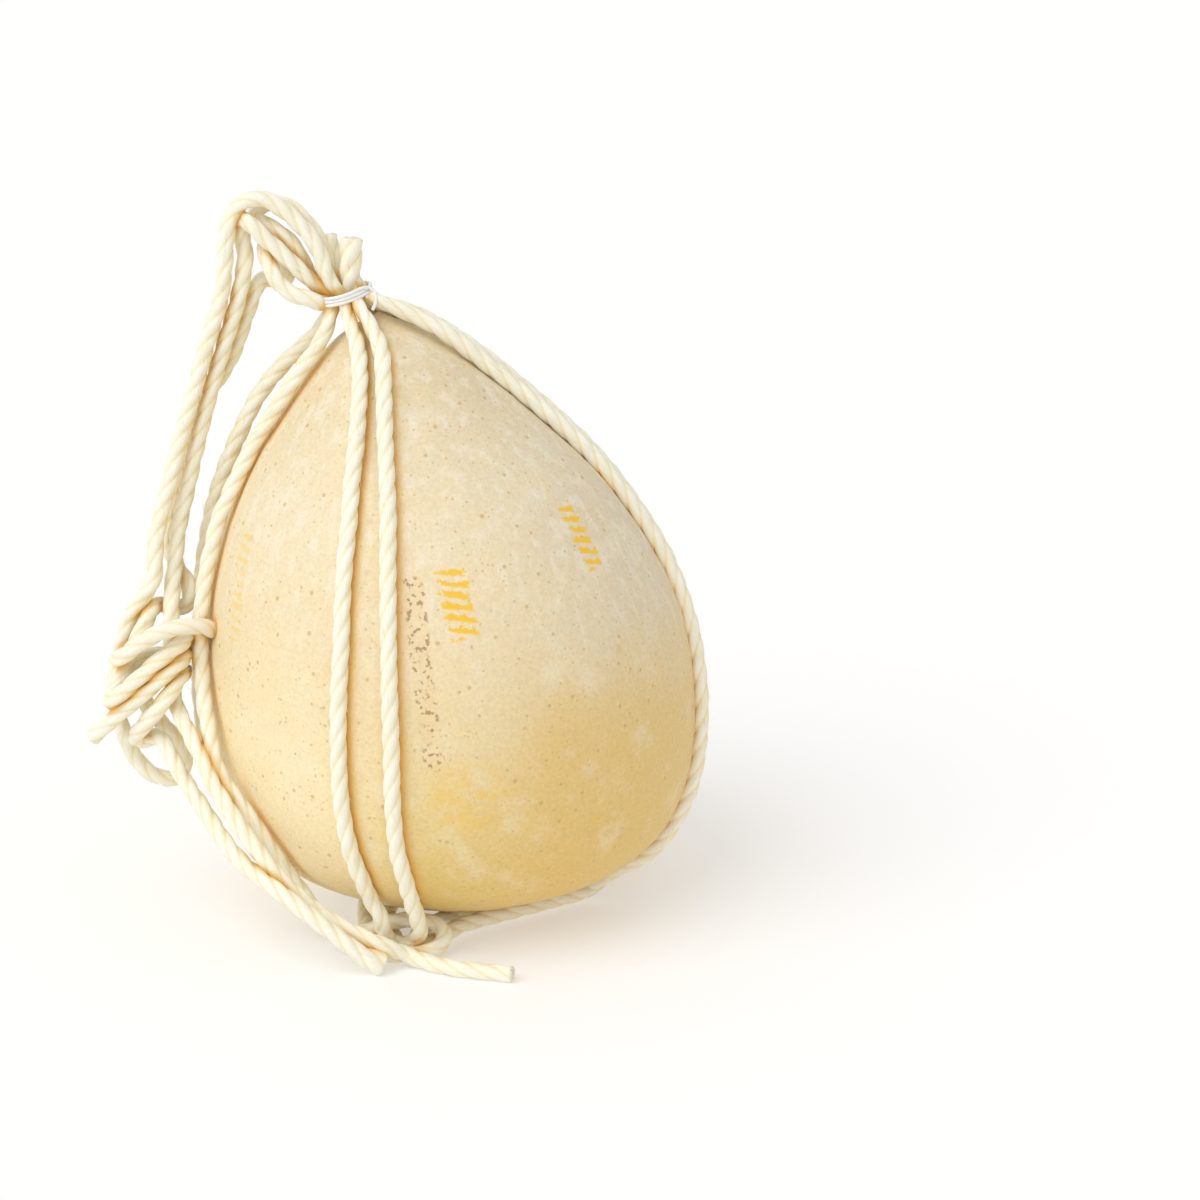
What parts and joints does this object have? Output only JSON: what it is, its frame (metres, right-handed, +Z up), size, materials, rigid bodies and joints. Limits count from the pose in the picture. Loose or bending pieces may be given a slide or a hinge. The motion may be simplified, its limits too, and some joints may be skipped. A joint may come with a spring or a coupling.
{
  "type": "provolone cheese",
  "caption": "Pear-shaped whole cheese with a pale rind, tied in a twisted-rope harness with a knotted hanging loop and loose tails.",
  "frame": {"origin": "centre of the flat spot on the underside that the cheese rests on", "axes": "+Z up, +X to the viewer's right, the shown front faces -Y; the tip of the cheese leans towards -X"},
  "size_m": [0.1852, 0.1547, 0.2164],
  "materials": {
    "rind": "waxy, faintly mottled pale straw rind",
    "cord_fibre": "undyed three-strand laid hemp",
    "tie_string": "white cotton string"
  },
  "bodies": {
    "root": {"cheese": "rind", "front_cord_1": "cord_fibre", "front_cord_2": "cord_fibre", "left_cord_1": "cord_fibre", "left_cord_2": "cord_fibre", "right_cord_1": "cord_fibre", "right_cord_2": "cord_fibre", "back_cord_1": "cord_fibre", "back_cord_2": "cord_fibre", "neck": "cord_fibre", "neck_stub": "cord_fibre", "base_knot": "cord_fibre", "top_knot": "cord_fibre", "hanging_cord_1": "cord_fibre", "hanging_cord_2": "cord_fibre", "hanging_cord_3": "cord_fibre", "left_knot": "cord_fibre", "cut_end": "cord_fibre", "knot_loop": "cord_fibre", "tail_1": "cord_fibre", "tail_2": "cord_fibre", "tie": "tie_string"}
  },
  "joints": []
}
